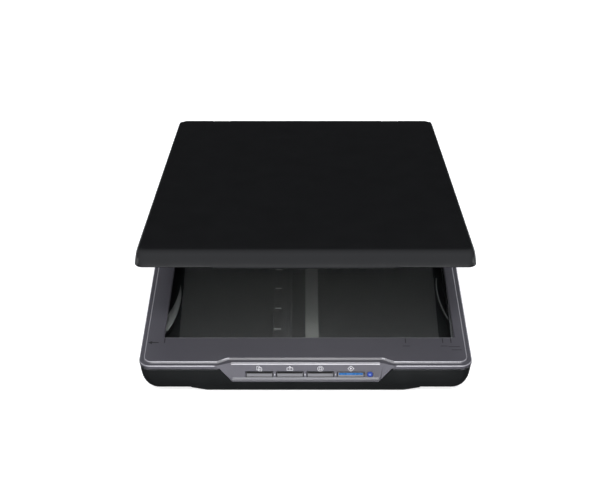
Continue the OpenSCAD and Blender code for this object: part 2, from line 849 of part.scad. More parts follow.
module stand_leg() {
    z0 = stand_axis_z - stand_t / 2;
    z1 = stand_axis_z + stand_t / 2;
    color("#1b1c1e") difference() {
        union() {
            translate([0, (stand_front_y + stand_axis_y) / 2, z0]) linear_extrude(stand_t) union() {
                translate([-stand_half, 0])
                    square([2 * stand_half, (stand_axis_y - stand_front_y) / 2]);
                rounded_rect(2 * stand_half, stand_axis_y - stand_front_y, 6);
            }
            rod_x(-stand_half, stand_half, stand_axis_y, stand_axis_z, stand_t / 2);
            rod_x(-stand_half - 3, stand_half + 3, stand_axis_y, stand_axis_z, stand_pin_r);
        }
        // Shallow bay for the rubber pad, and a finger notch in the free edge.
        box(-36, 36, stand_front_y + 6, stand_front_y + 12, 0, z0 + 0.6);
        post(0, stand_front_y - 6, 0, 10, 10);
    }
}

module stand_pad() {
    z0 = stand_axis_z - stand_t / 2;
    color("#2a2a2a") box(-35.9, 35.9, stand_front_y + 6.1, stand_front_y + 11.9, z0 - 0.1, z0 + 0.58);
}

// ---------------------------------------------------------------- lid

module hinge_post(x) {
    difference() {
        union() {
            box(x - post_w / 2, x + post_w / 2, socket_y - post_t / 2, socket_y + post_t / 2,
                post_foot_z, shelf_z + 1);
            box(x - knuckle_w / 2, x + knuckle_w / 2, hinge_y - 5, hinge_y + 5, shelf_z + 0.05, hinge_z);
            rod_x(x - knuckle_w / 2, x + knuckle_w / 2, hinge_y, hinge_z, barrel_r - 0.1);
        }
        rod_x(x - knuckle_w, x + knuckle_w, hinge_y, hinge_z, pin_r + 0.06);
        box(x - 4.5, x + 4.5, socket_y - 2.4, socket_y + 2.4, post_foot_z - 1, shelf_z - 3);
    }
}

module hinge_post_left() color("#232427") hinge_post(-hinge_x);

module hinge_post_right() color("#232427") hinge_post(hinge_x);

module hinge_pin(x) {
    on_lid() rod_x(x - pin_l / 2, x + pin_l / 2, hinge_y, hinge_z, pin_r);
}

module hinge_pin_left() color("silver") hinge_pin(-hinge_x);

module hinge_pin_right() color("silver") hinge_pin(hinge_x);

lid_d = hinge_y - lid_front_y;

// The lid's outer skin as a rounded slab whose front edge rolls over.
module lid_skin() {
    y_mid = (lid_front_y + hinge_y) / 2;
    hull() {
        for (t = [0:15:90]) {
            drop = 5.5 * (1 - cos(t));
            side = 1.6 * (1 - sin(t));
            front = 5.5 * (1 - sin(t));
            translate([0, y_mid + front / 2, lid_top_z - drop * 0.8]) mirror([0, 0, 1])
                linear_extrude(eps)
                    rounded_front(lid_w - 2 * side, lid_d - front, lid_corner_r - side);
        }
        translate([0, y_mid, lid_skirt_z]) linear_extrude(eps)
            rounded_front(lid_w, lid_d, lid_corner_r);
    }
}

// A rectangle with two round corners at the front, square at the hinge line.
module rounded_front(w, d, r) {
    translate([-w / 2, -d / 2 + r]) square([w, d - r]);
    translate([-w / 2 + r, -d / 2]) square([w - 2 * r, d - r]);
    for (x = [-1, 1]) translate([x * (w / 2 - r), -d / 2 + r]) circle(r, $fn = 32);
}

module lid_notch(x) {
    rod_x(x - notch_w / 2, x + notch_w / 2, hinge_y, hinge_z, barrel_r + 0.5);
    box(x - notch_w / 2, x + notch_w / 2, hinge_y, 190, 20, 45);
    box(x - notch_w / 2, x + notch_w / 2, hinge_y - 8.5, hinge_y, 20, hinge_z);
}

module lid_shell() {
    room_y1 = hinge_y - barrel_r - 1;
    ear_out = notch_w / 2 + ear_w;
    barrel_end = lid_w / 2 - 0.6;
    color("#141517") on_lid() difference() {
        union() {
            difference() {
                lid_skin();
                box(-lid_w / 2 + lid_wall, lid_w / 2 - lid_wall, lid_front_y + 2.4, room_y1,
                    20, lid_top_z - lid_ceiling);
                box(-130, 130, room_y1 - 1, 190, 20, hinge_z);
            }
            rod_x(-barrel_end, barrel_end, hinge_y, hinge_z, barrel_r);
            // Finger lip under the front edge.
            along_x(-65, 65) polygon([
                [lid_front_y + 0.1, lid_skirt_z + 0.5], [lid_front_y + 0.2, lid_skirt_z - 0.7],
                [lid_front_y + 2, lid_skirt_z - 0.7], [lid_front_y + 2.4, lid_skirt_z + 0.5]
            ]);
        }
        for (x = [-1, 1]) {
            lid_notch(x * hinge_x);
            rod_x(x * hinge_x - pin_l / 2, x * hinge_x + pin_l / 2, hinge_y, hinge_z, pin_r + 0.02);
            // Hollow of the barrel outside each pair of ears.
            rod_x(min(x * (hinge_x + ear_out), x * (barrel_end - 2)),
                max(x * (hinge_x + ear_out), x * (barrel_end - 2)), hinge_y, hinge_z, barrel_r - 2);
        }
        rod_x(-hinge_x + ear_out, hinge_x - ear_out, hinge_y, hinge_z, barrel_r - 2);
    }
}

// Inner panel that closes the underside of the lid, with ribs up to the shell.
module lid_liner() {
    w = lid_w - 2 * lid_wall - 0.6;
    y0 = lid_front_y + 2.7;
    y1 = hinge_y - barrel_r - 1.3;
    z1 = lid_top_z - lid_ceiling - 0.02;
    color("#17181a") on_lid() {
        box(-w / 2, w / 2, y0, y1, liner_z, liner_z + 1.5);
        for (x = [-78, 0, 78]) box(x - 0.8, x + 0.8, y0 + 8, y1 - 8, liner_z + 1.4, z1);
        for (y = [-150, -75, 0, 75, 150])
            box(-w / 2 + 8, w / 2 - 8, y - 0.8, y + 0.8, liner_z + 1.4, z1);
    }
}

// Springy white pad under the lid that presses the page flat on the glass.
module document_mat() {
    color("white") on_lid() translate([window_x, window_y, 0])
        rounded_plate(window_w - 3, window_l - 3, 3, glass_top_z + 0.2, liner_z - 0.02);
}

// Small pads under the skirt that meet the ledge when the lid is down.
module lid_bumpers() {
    color("#202020") on_lid() for (x = [-1, 1], y = [-120, 60])
        box(x * (lid_w / 2 - 0.7) - 0.5, x * (lid_w / 2 - 0.7) + 0.5, y, y + 10,
            ledge_z + 0.25, lid_skirt_z - 0.01);
}

// ---------------------------------------------------------------- nodes

lower_case();
upper_frame();
platen_glass();
glass_tape();
calibration_strip();
rubber_feet();
case_screws();
drive_rail();
flex_cable();
main_board();
board_parts();
board_screws();
button_board();
tact_switches();
power_lamp();
usb_board();
usb_socket();
usb_harness();
button_pdf();
button_send();
button_copy();
button_start();
start_button_window();
carriage_tray();
sensor_housing();
lens_array();
light_guide();
sensor_board();
sensor_glides();
leaf_springs();
guide_shoes();
drive_motor();
motor_screws();
gear_axle();
flex_loop();
reduction_gear();
motor_pinion();
stand_leg();
stand_pad();
hinge_post_left();
hinge_post_right();
lid_shell();
lid_liner();
document_mat();
hinge_pin_left();
hinge_pin_right();
lid_bumpers();
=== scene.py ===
import math

import bmesh
import bpy
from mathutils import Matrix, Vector


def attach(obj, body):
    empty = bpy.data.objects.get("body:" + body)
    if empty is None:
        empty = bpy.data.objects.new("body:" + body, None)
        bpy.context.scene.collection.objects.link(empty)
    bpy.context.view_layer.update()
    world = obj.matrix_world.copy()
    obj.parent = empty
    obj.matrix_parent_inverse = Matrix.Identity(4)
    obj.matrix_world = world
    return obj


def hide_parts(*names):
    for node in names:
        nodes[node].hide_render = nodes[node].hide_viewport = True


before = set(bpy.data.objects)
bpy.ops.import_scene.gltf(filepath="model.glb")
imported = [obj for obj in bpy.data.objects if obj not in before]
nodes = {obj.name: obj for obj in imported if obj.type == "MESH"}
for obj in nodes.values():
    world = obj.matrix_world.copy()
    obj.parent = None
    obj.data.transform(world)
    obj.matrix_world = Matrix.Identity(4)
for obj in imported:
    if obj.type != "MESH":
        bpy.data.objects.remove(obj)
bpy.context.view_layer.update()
MM = 0.001


# ---------------------------------------------------------------- materials

def node_material(name):
    mat = bpy.data.materials.new(name)
    mat.use_nodes = True
    tree = mat.node_tree
    tree.nodes.clear()
    out = tree.nodes.new("ShaderNodeOutputMaterial")
    bsdf = tree.nodes.new("ShaderNodeBsdfPrincipled")
    tree.links.new(bsdf.outputs[0], out.inputs[0])
    return mat, tree, bsdf


def noise(tree, scale, detail=2.0, rough=0.5, stretch=None):
    coord = tree.nodes.new("ShaderNodeTexCoord")
    tex = tree.nodes.new("ShaderNodeTexNoise")
    tex.inputs["Scale"].default_value = scale
    tex.inputs["Detail"].default_value = detail
    tex.inputs["Roughness"].default_value = rough
    if stretch:
        mapping = tree.nodes.new("ShaderNodeMapping")
        mapping.inputs["Scale"].default_value = stretch
        tree.links.new(coord.outputs["Object"], mapping.inputs[0])
        tree.links.new(mapping.outputs[0], tex.inputs["Vector"])
    else:
        tree.links.new(coord.outputs["Object"], tex.inputs["Vector"])
    return tex.outputs["Fac"]


def ramp(tree, value, low, high, start=0.3, end=0.7):
    node = tree.nodes.new("ShaderNodeMapRange")
    node.inputs["From Min"].default_value = start
    node.inputs["From Max"].default_value = end
    node.inputs["To Min"].default_value = low
    node.inputs["To Max"].default_value = high
    tree.links.new(value, node.inputs["Value"])
    return node.outputs[0]


def blend_colour(tree, value, a, b):
    node = tree.nodes.new("ShaderNodeMix")
    node.data_type = "RGBA"
    tree.links.new(value, node.inputs["Factor"])
    node.inputs["A"].default_value = (*a, 1)
    node.inputs["B"].default_value = (*b, 1)
    return node.outputs["Result"]


def bump(tree, bsdf, layers):
    last = None
    for height, distance, strength in layers:
        node = tree.nodes.new("ShaderNodeBump")
        node.inputs["Strength"].default_value = strength
        node.inputs["Distance"].default_value = distance
        tree.links.new(height, node.inputs["Height"])
        if last:
            tree.links.new(last, node.inputs["Normal"])
        last = node.outputs[0]
    tree.links.new(last, bsdf.inputs["Normal"])


def plastic(name, colour, rough, grain=2600, depth=0.02, vary=0.12, wear=0.06):
    """Moulded plastic: spark-eroded grain, slow colour drift and patches of different gloss."""
    mat, tree, bsdf = node_material(name)
    drift = noise(tree, 22, 3)
    dark = tuple(c * (1 - vary) for c in colour)
    light = tuple(c * (1 + vary) for c in colour)
    tint = blend_colour(tree, ramp(tree, drift, 0, 1), dark, light)
    tree.links.new(tint, bsdf.inputs["Base Color"])
    fine = noise(tree, grain, 2, 0.6)
    handled = noise(tree, 60, 4, 0.6)
    mix = tree.nodes.new("ShaderNodeMath")
    mix.operation = "ADD"
    tree.links.new(ramp(tree, handled, rough - wear, rough + wear), mix.inputs[0])
    tree.links.new(ramp(tree, fine, -0.03, 0.05), mix.inputs[1])
    tree.links.new(mix.outputs[0], bsdf.inputs["Roughness"])
    bump(tree, bsdf, [(fine, depth * MM, 0.5), (noise(tree, 300, 3), 0.02 * MM, 0.12)])
    return mat


def metal(name, colour, rough, stretch=(1, 40, 40), scale=90):
    mat, tree, bsdf = node_material(name)
    brushed = noise(tree, scale, 4, 0.6, stretch)
    dark = tuple(c * 0.82 for c in colour)
    tint = blend_colour(tree, ramp(tree, brushed, 0, 1), dark, colour)
    tree.links.new(tint, bsdf.inputs["Base Color"])
    tree.links.new(ramp(tree, brushed, rough - 0.07, rough + 0.1), bsdf.inputs["Roughness"])
    bump(tree, bsdf, [(brushed, 0.01 * MM, 0.3)])
    bsdf.inputs["Metallic"].default_value = 1
    return mat


def clear_glass(name, tint):
    """Polished float glass with a faint cool cast and a few smears on its face."""
    mat, tree, bsdf = node_material(name)
    smear = noise(tree, 18, 5, 0.6)
    tree.links.new(ramp(tree, smear, 0.0, 0.035, 0.45, 0.75), bsdf.inputs["Roughness"])
    dim = tuple(c * 0.97 for c in tint)
    cast = blend_colour(tree, ramp(tree, smear, 0, 1), tint, dim)
    tree.links.new(cast, bsdf.inputs["Base Color"])
    bsdf.inputs["Transmission Weight"].default_value = 1
    bsdf.inputs["IOR"].default_value = 1.5
    return mat


def board(name):
    """Solder mask over a brick pattern of copper areas."""
    mat, tree, bsdf = node_material(name)
    coord = tree.nodes.new("ShaderNodeTexCoord")
    brick = tree.nodes.new("ShaderNodeTexBrick")
    brick.inputs["Scale"].default_value = 260
    brick.inputs["Mortar Size"].default_value = 0.12
    brick.inputs["Color1"].default_value = (0.02, 0.13, 0.06, 1)
    brick.inputs["Color2"].default_value = (0.025, 0.16, 0.075, 1)
    brick.inputs["Mortar"].default_value = (0.045, 0.24, 0.11, 1)
    tree.links.new(coord.outputs["Object"], brick.inputs["Vector"])
    tree.links.new(brick.outputs["Color"], bsdf.inputs["Base Color"])
    tree.links.new(ramp(tree, noise(tree, 400, 2), 0.25, 0.45), bsdf.inputs["Roughness"])
    bump(tree, bsdf, [(brick.outputs["Fac"], 0.03 * MM, 0.6)])
    return mat


def ribbon(name):
    """Flat cable: parallel conductors under a polyester skin."""
    mat, tree, bsdf = node_material(name)
    coord = tree.nodes.new("ShaderNodeTexCoord")
    wave = tree.nodes.new("ShaderNodeTexWave")
    wave.bands_direction = "X"
    wave.inputs["Scale"].default_value = 320
    wave.inputs["Distortion"].default_value = 0
    tree.links.new(coord.outputs["Object"], wave.inputs["Vector"])
    tint = blend_colour(tree, wave.outputs["Fac"], (0.12, 0.121, 0.115), (0.175, 0.175, 0.168))
    tree.links.new(tint, bsdf.inputs["Base Color"])
    tree.links.new(ramp(tree, noise(tree, 90, 3), 0.3, 0.5), bsdf.inputs["Roughness"])
    bump(tree, bsdf, [(wave.outputs["Fac"], 0.05 * MM, 0.5)])
    return mat


def film(name):
    """White film over foam: faint orange-peel and slow waves."""
    mat, tree, bsdf = node_material(name)
    slow = noise(tree, 14, 3)
    tint = blend_colour(tree, ramp(tree, slow, 0, 1), (0.74, 0.74, 0.72), (0.82, 0.82, 0.81))
    tree.links.new(tint, bsdf.inputs["Base Color"])
    tree.links.new(ramp(tree, noise(tree, 1200, 2), 0.45, 0.6), bsdf.inputs["Roughness"])
    bump(tree, bsdf, [(noise(tree, 900, 2), 0.03 * MM, 0.4), (slow, 0.3 * MM, 0.2)])
    return mat


def rubber(name):
    """Matt rubber with a film of dust."""
    mat, tree, bsdf = node_material(name)
    dust = noise(tree, 500, 4, 0.7)
    tint = blend_colour(tree, ramp(tree, dust, 0, 1), (0.018, 0.018, 0.018), (0.04, 0.04, 0.038))
    tree.links.new(tint, bsdf.inputs["Base Color"])
    tree.links.new(ramp(tree, dust, 0.75, 0.95), bsdf.inputs["Roughness"])
    bump(tree, bsdf, [(noise(tree, 1500, 2), 0.05 * MM, 0.5)])
    return mat


def glow(name, colour, rough, strength):
    """Tinted clear plastic lit a little from behind."""
    mat, tree, bsdf = node_material(name)
    cloud = noise(tree, 700, 3)
    dim = tuple(c * 0.75 for c in colour)
    tint = blend_colour(tree, ramp(tree, cloud, 0, 1), dim, colour)
    tree.links.new(tint, bsdf.inputs["Base Color"])
    tree.links.new(tint, bsdf.inputs["Emission Color"])
    bsdf.inputs["Emission Strength"].default_value = strength
    tree.links.new(ramp(tree, cloud, rough - 0.04, rough + 0.06), bsdf.inputs["Roughness"])
    bump(tree, bsdf, [(noise(tree, 2000, 2), 0.01 * MM, 0.3)])
    return mat


def paint(name, colour, rough=0.5):
    """Printed ink, finely speckled; the same flat paint also serves for painted shade and painted highlight
    strips.
    """
    mat, tree, bsdf = node_material(name)
    speck = noise(tree, 3000, 2)
    dim = tuple(c * 0.85 for c in colour)
    tint = blend_colour(tree, ramp(tree, speck, 0, 1), dim, colour)
    tree.links.new(tint, bsdf.inputs["Base Color"])
    tree.links.new(ramp(tree, speck, rough - 0.05, rough + 0.1), bsdf.inputs["Roughness"])
    bump(tree, bsdf, [(speck, 0.01 * MM, 0.2)])
    return mat


M = {
    "case": plastic("case_black", (0.0055, 0.006, 0.0062), 0.36, depth=0.03),
    "frame": plastic("frame_grey", (0.060, 0.058, 0.0695), 0.34, depth=0.015, vary=0.03, wear=0.03),
    "button": plastic("button_grey", (0.11, 0.109, 0.118), 0.3, depth=0.01, vary=0.04),
    "lid": plastic("lid_black", (0.0058, 0.006, 0.0064), 0.2, depth=0.008, vary=0.05, wear=0.02),
    "inner": plastic("inner_black", (0.018, 0.018, 0.019), 0.55),
    "acetal": plastic("acetal", (0.72, 0.71, 0.66), 0.4, grain=1500, depth=0.01, vary=0.04),
    "chips": plastic("chip_black", (0.02, 0.02, 0.022), 0.5, grain=1800),
    "lens": plastic("lens_black", (0.008, 0.008, 0.01), 0.12, depth=0.004),
    "acrylic": plastic("acrylic", (0.78, 0.82, 0.85), 0.12, depth=0.003, vary=0.03),
    "steel": metal("plated_steel", (0.55, 0.55, 0.57), 0.32),
    "can": metal("zinc_can", (0.42, 0.43, 0.45), 0.4, (40, 40, 1)),
    "brass": metal("brass", (0.62, 0.46, 0.2), 0.3),
    "glass": clear_glass("platen_glass", (0.9, 0.93, 0.93)),
    "board": board("circuit_board"),
    "ribbon": ribbon("flat_cable"),
    "film": film("white_film"),
    "rubber": rubber("rubber"),
    "blue": glow("blue_window", (0.006, 0.075, 0.22), 0.25, 0.05),
    "lamp": glow("blue_lamp", (0.09, 0.15, 0.36), 0.3, 0.1),
    "tape": plastic("black_tape", (0.012, 0.012, 0.012), 0.5),
    "print": paint("pale_print", (0.48, 0.48, 0.5)),
    # Near black: print for the size marks and the dark lines round the buttons, and painted shade along the
    # buttons' upper edges and on the rail's pocket floors.
    "mark": paint("dark_print_and_painted_shade", (0.006, 0.006, 0.006)),
    # Pale grey: print for the dots between the buttons, and a painted highlight along the case's seam.
    "dot": paint("dot_print_and_seam_highlight", (0.24, 0.24, 0.26)),
    "ring": glow("lamp_ring", (0.008, 0.028, 0.19), 0.3, 0.15),
    # Light grey for the edge strips: it paints highlights along the frame's and panel's edges.
    "edge_highlight_grey": plastic("frame_edge_painted_highlight", (0.24, 0.236, 0.26), 0.2, depth=0.004, vary=0.04, wear=0.04),
    # Mid grey for the panel's lower lip, lighter than the frame: a painted highlight.
    "lip": plastic("frame_lip_painted_highlight", (0.12, 0.12, 0.13), 0.35, depth=0.004, vary=0.04, wear=0.04),
    # Pale grey that paints highlights on the bed's ribs and on the bars between the rail's pockets.
    "painted_highlight_grey": plastic("painted_highlight_pale", (0.26, 0.263, 0.26), 0.42, depth=0.01, vary=0.08),
    "plate": paint("label_silver", (0.38, 0.38, 0.39), 0.45),
}

NODE_LOOK = {
    "lower_case": "case", "upper_frame": "frame", "platen_glass": "glass", "glass_tape": "tape",
    "calibration_strip": "film", "rubber_feet": "rubber", "case_screws": "steel", "drive_rail": "inner",
    "flex_cable": "ribbon", "main_board": "board", "board_parts": "chips", "board_screws": "steel",
    "button_board": "board", "tact_switches": "chips", "power_lamp": "lamp", "usb_board": "board",
    "usb_socket": "steel", "usb_harness": "chips", "button_pdf": "button", "button_send": "button",
    "button_copy": "button", "button_start": "button", "start_button_window": "blue",
    "carriage_tray": "inner", "sensor_housing": "inner", "lens_array": "lens", "light_guide": "acrylic",
    "sensor_board": "board", "sensor_glides": "acetal", "leaf_springs": "steel", "guide_shoes": "acetal",
    "drive_motor": "can", "motor_screws": "steel", "gear_axle": "steel", "flex_loop": "ribbon",
    "reduction_gear": "acetal", "motor_pinion": "brass", "stand_leg": "case", "stand_pad": "rubber",
    "hinge_post_left": "case", "hinge_post_right": "case", "lid_shell": "lid", "lid_liner": "inner",
    "document_mat": "film", "hinge_pin_left": "steel", "hinge_pin_right": "steel", "lid_bumpers": "rubber",
}


def set_material(obj, mat):
    obj.data.materials.clear()
    obj.data.materials.append(mat)


MERGE_DISTANCE = 0.004 * MM
FLAT_ANGLE = math.radians(0.6)


def bevel(obj, width, segments, angle):
    """Joins a CAD node's split vertices, clears its flat faces and bevels the edges sharper than an angle."""
    for face in obj.data.polygons:
        face.use_smooth = True
    weld = obj.modifiers.new("weld", "WELD")
    weld.merge_threshold = MERGE_DISTANCE
    flat = obj.modifiers.new("flat", "DECIMATE")
    flat.decimate_type = "DISSOLVE"
    flat.angle_limit = FLAT_ANGLE
    edge = obj.modifiers.new("edge", "BEVEL")
    edge.width = width * MM
    edge.segments = segments
    edge.limit_method = "ANGLE"
    edge.angle_limit = math.radians(angle)
    return edge


def chamfer(obj, width):
    """Flat chamfers, with crisp facet edges."""
    edge = bevel(obj, width, segments=1, angle=78)
    edge.use_clamp_overlap = False
    split = obj.modifiers.new("crisp", "EDGE_SPLIT")
    split.split_angle = math.radians(30)


def soften(obj, width):
    """Small moulded radii on a CAD node's edges, by modifiers only."""
    edge = bevel(obj, width, segments=3, angle=28)
    edge.harden_normals = True
    edge.use_clamp_overlap = True
    smooth = obj.modifiers.new("normals", "WEIGHTED_NORMAL")
    smooth.keep_sharp = False
    smooth.weight = 60


FRAME_CHAMFER = 0.62
SOFT = {
    "lower_case": 0.4, "hinge_post_left": 0.4, "hinge_post_right": 0.4,
    "button_pdf": 0.3, "button_send": 0.3, "button_copy": 0.3, "button_start": 0.12,
    "start_button_window": 0.1, "drive_rail": 0.15, "stand_leg": 0.4, "stand_pad": 0.2,
    "carriage_tray": 0.2, "sensor_housing": 0.25,
    "rubber_feet": 0.4, "drive_motor": 0.2, "board_parts": 0.15, "platen_glass": 0.15,
}
for name, look in NODE_LOOK.items():
    set_material(nodes[name], M[look])
for name, width in SOFT.items():
    soften(nodes[name], width)
chamfer(nodes["upper_frame"], FRAME_CHAMFER)


# ---------------------------------------------------------------- mesh pieces

SHARP_ANGLE = math.radians(38)


def add_piece(name, bm, look, body, slot, *replaced):
    """Turns a finished bmesh into a piece that rides on a body."""
    me = bpy.data.meshes.new(name)
    bmesh.ops.recalc_face_normals(bm, faces=bm.faces)
    bm.to_mesh(me)
    bm.free()
    for poly in me.polygons:
        poly.use_smooth = True
    me.set_sharp_from_angle(angle=SHARP_ANGLE)
    obj = bpy.data.objects.new(name, me)
    bpy.context.scene.collection.objects.link(obj)
    set_material(obj, M[look])
    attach(obj, body)
    if replaced:
        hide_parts(*replaced)
    return obj


def add_face(bm, verts):
    """A face, unless it is there already."""
    try:
        bm.faces.new(verts)
    except ValueError:
        pass


def join_rings(bm, a, b, closed=True):
    """Quads between two lines of vertices."""
    n = len(a)
    for i in range(n if closed else n - 1):
        add_face(bm, (a[i], a[(i + 1) % n], b[(i + 1) % n], b[i]))


def loft(bm, rings):
    """Walls through a row of sections, with a face on each end."""
    for a, b in zip(rings, rings[1:]):
        join_rings(bm, a, b)
    add_face(bm, rings[0])
    add_face(bm, rings[-1][::-1])


def loop_loft(bm, rings):
    """Walls through a row of sections and back to the first, as round a tube's wall."""
    for a, b in zip(rings, rings[1:] + rings[:1]):
        join_rings(bm, a, b)


def slab(bm, outline, low, high, place):
    """A plate between two heights, on an outline drawn in the plane that place() maps into space."""
    rings = [[bm.verts.new(place(x, y, h)) for x, y in outline] for h in (low, high)]
    join_rings(bm, *rings)
    add_face(bm, rings[0][::-1])
    add_face(bm, rings[1])


def disc_outline(x, y, r, n):
    turns = [2 * math.pi * i / n for i in range(n)]
    return [(x + r * math.cos(a), y + r * math.sin(a)) for a in turns]


def arc(cx, cy, r, a0, a1, n=10):
    """Points along an arc between two angles in degrees, both ends included."""
    turns = [math.radians(a0 + (a1 - a0) * k / n) for k in range(n + 1)]
    return [(cx + r * math.cos(a), cy + r * math.sin(a)) for a in turns]


def stroke(points, width, closed=False):
    """Quads along a line of points, as outlines for slab()."""
    ends = points[1:] + points[:1] if closed else points[1:]
    for (x0, y0), (x1, y1) in zip(points, ends):
        length = math.hypot(x1 - x0, y1 - y0)
        nx, ny = -(y1 - y0) / length * width / 2, (x1 - x0) / length * width / 2
        ex, ey = (x1 - x0) / length * width / 2, (y1 - y0) / length * width / 2
        yield [(x0 - ex + nx, y0 - ey + ny), (x0 - ex - nx, y0 - ey - ny),
               (x1 + ex - nx, y1 + ey - ny), (x1 + ex + nx, y1 + ey + ny)]


# ---------------------------------------------------------------- lid

# The lid is described closed and swung open by its rest angle.
LID_OPEN = math.radians(13.35)
HINGE_Y, HINGE_Z = 175.6, 33.0
COS, SIN = math.cos(LID_OPEN), math.sin(LID_OPEN)


def on_lid(x, y, z):
    dy, dz = y - HINGE_Y, z - HINGE_Z
    return (x * MM, (HINGE_Y + dy * COS + dz * SIN) * MM, (HINGE_Z - dy * SIN + dz * COS) * MM)


LID_HALF = 123.5
LID_FRONT = -181.5
LID_REAR = HINGE_Y - 0.2
LID_TOP = 38.9
LID_SKIRT = 30.3
LID_DROP = 8.3
LID_CORNER = 7.5
REAR_CORNER = 7.5
BARREL_R = 6.1
PIN_BORE = 1.52
BARREL_END = 122.9
# Notches in the rear edge, round the knuckles of the hinge posts.
KNUCKLE = 82.0
NOTCH = 8.0
NOTCH_Y = 173.4
# The front edge rolls over: distance behind the edge, and drop below the top.
ROLL_LENGTH, ROLL_DROP, ROLL_POWER = 17, 8.0, 2.6
ROLL_STEPS = (0, 0.5, 1.2, 2, 3, 4, 5.2, 6.5, 8, 9.5, 11, 12.6, 14.2, 15.6)
FRONT_ROLL = [(u, ROLL_DROP * (1 - u / ROLL_LENGTH) ** ROLL_POWER) for u in ROLL_STEPS]
FRONT_ROLL += [(ROLL_LENGTH, 0), (30, 0)]
LID_ROWS = [-100, -40, 20, 80, 130]
SIDE_INSETS = [0, 0.05, 0.18, 0.4, 0.75, 1.2, 1.7, 2.3, 3.2, 4.5, 6, 7.5, 12, 22, 33.5, 49.5, 70, 95]
SIDE_ROLL_W, SIDE_ROLL_H = 2.2, 3.2
# The cover's underside: foot of the skirt, thickness of its wall and of its top.
FOOT_INSET, FOOT_HEIGHT = 0.3, 0.35
WALL, FRONT_WALL, TOP_THICK, FRONT_THICK = 2.1, 7.5, 2.4, 4.6
FRONT_ZONE = -160


def side_drop(inset):
    """Drop of the top near a side edge, a quarter ellipse."""
    if inset >= SIDE_ROLL_W:
        return 0.0
    return SIDE_ROLL_H * (1 - math.sqrt(1 - (1 - inset / SIDE_ROLL_W) ** 2))


def corner_cut(inset, radius):
    """How far a round corner pulls the front or rear edge in."""
    if inset >= radius:
        return 0.0
    return radius - math.sqrt(radius ** 2 - (radius - inset) ** 2)


def front_edge(inset):
    return LID_FRONT + corner_cut(inset, LID_CORNER)


def rear_edge(inset):
    return LID_REAR - corner_cut(inset, REAR_CORNER)


def notch_row(inset):
    return rear_edge(inset) - LID_REAR + NOTCH_Y


columns = [(LID_HALF - i, i) for i in SIDE_INSETS] + [(0.0, LID_HALF)]
columns += [(-x, i) for x, i in columns[-2::-1]]
bm = bmesh.new()
skin = []
for x, inset in columns:
    line = []
    y0, y1 = front_edge(inset), rear_edge(inset)
    for u, front_drop in FRONT_ROLL + [(y - y0, 0.0) for y in LID_ROWS + [notch_row(inset), y1]]:
        drop = LID_DROP * (1 - (1 - front_drop / LID_DROP) * (1 - side_drop(inset) / LID_DROP))
        line.append(bm.verts.new(on_lid(x, y0 + u, LID_TOP - drop)))
    skin.append(line)
for k, (a, b) in enumerate(zip(skin, skin[1:])):
    centre = abs(columns[k][0] + columns[k + 1][0]) / 2
    notched = abs(centre - KNUCKLE) < NOTCH
    join_rings(bm, a[:-1] if notched else a, b[:-1] if notched else b, closed=False)
rows = [front_edge(0) + u for u, drop in FRONT_ROLL] + LID_ROWS + [notch_row(0)]
# The border runs round the cover from one rear corner to the other, by way of the front.
corner = [k for k, (x, i) in enumerate(columns) if i <= REAR_CORNER and x > 0]
border = [(skin[k][-1], columns[k][0], rear_edge(columns[k][1])) for k in corner[::-1]]
border += [(skin[0][k], LID_HALF, rows[k]) for k in range(len(rows) - 1, 0, -1)]
border += [(line[0], x, front_edge(i)) for line, (x, i) in zip(skin, columns)]
border += [(skin[-1][k], -LID_HALF, rows[k]) for k in range(1, len(rows))]
border += [(skin[-1 - k][-1], -columns[k][0], rear_edge(columns[k][1])) for k in corner]
wall_low, foot, inner_low, inner_top = [], [], [], []
for _, x, y in border:
    wall_low.append(bm.verts.new(on_lid(x, y, LID_SKIRT + FOOT_HEIGHT)))
    fx = x * (LID_HALF - FOOT_INSET) / LID_HALF
    fy = max(y, LID_FRONT + FOOT_INSET)
    foot.append(bm.verts.new(on_lid(fx, fy, LID_SKIRT)))
    ix = max(-LID_HALF + WALL, min(LID_HALF - WALL, x))
    iy = min(max(y, LID_FRONT + FRONT_WALL), HINGE_Y - BARREL_R - 1)
    inner_low.append(bm.verts.new(on_lid(ix, iy, LID_SKIRT)))
    thick = FRONT_THICK if y < FRONT_ZONE else TOP_THICK
    inner_top.append(bm.verts.new(on_lid(ix, iy, LID_TOP - thick)))
join_rings(bm, [v for v, x, y in border], wall_low, closed=False)
join_rings(bm, wall_low, foot, closed=False)
join_rings(bm, foot, inner_low, closed=False)
join_rings(bm, inner_low, inner_top, closed=False)
bmesh.ops.remove_doubles(bm, verts=bm.verts, dist=0.00001)
add_piece("lid_cover", bm, "lid", "lid", "lid_plastic")

# Blocks that close the cover round the hinge notches.
bm = bmesh.new()
BLOCK_LOW, BLOCK_TOP, BLOCK_FRONT, BLOCK_WIDE = 34.5, LID_TOP - 0.03, 166.0, 2
GAP_LOW, GAP_FRONT = LID_TOP - 0.3, 167.0
for side in (-1, 1):
    inner, outer = KNUCKLE - NOTCH, KNUCKLE + NOTCH
    for x0, x1, low, y0, y1 in (
            (inner - BLOCK_WIDE, outer + BLOCK_WIDE, BLOCK_LOW, BLOCK_FRONT, 168.0),
            (inner - BLOCK_WIDE, inner - 0.02, BLOCK_LOW, BLOCK_FRONT, 173.5),
            (outer + 0.02, outer + BLOCK_WIDE, BLOCK_LOW, BLOCK_FRONT, 173.5),
            (inner, outer, GAP_LOW, GAP_FRONT, NOTCH_Y - 0.02)):
        outline = [(side * x0, low), (side * x1, low), (side * x1, BLOCK_TOP), (side * x0, BLOCK_TOP)]
        slab(bm, outline, y0, y1, lambda x, z, y: on_lid(x, y, z))
add_piece("lid_rear_blocks", bm, "lid", "lid", "lid_plastic")

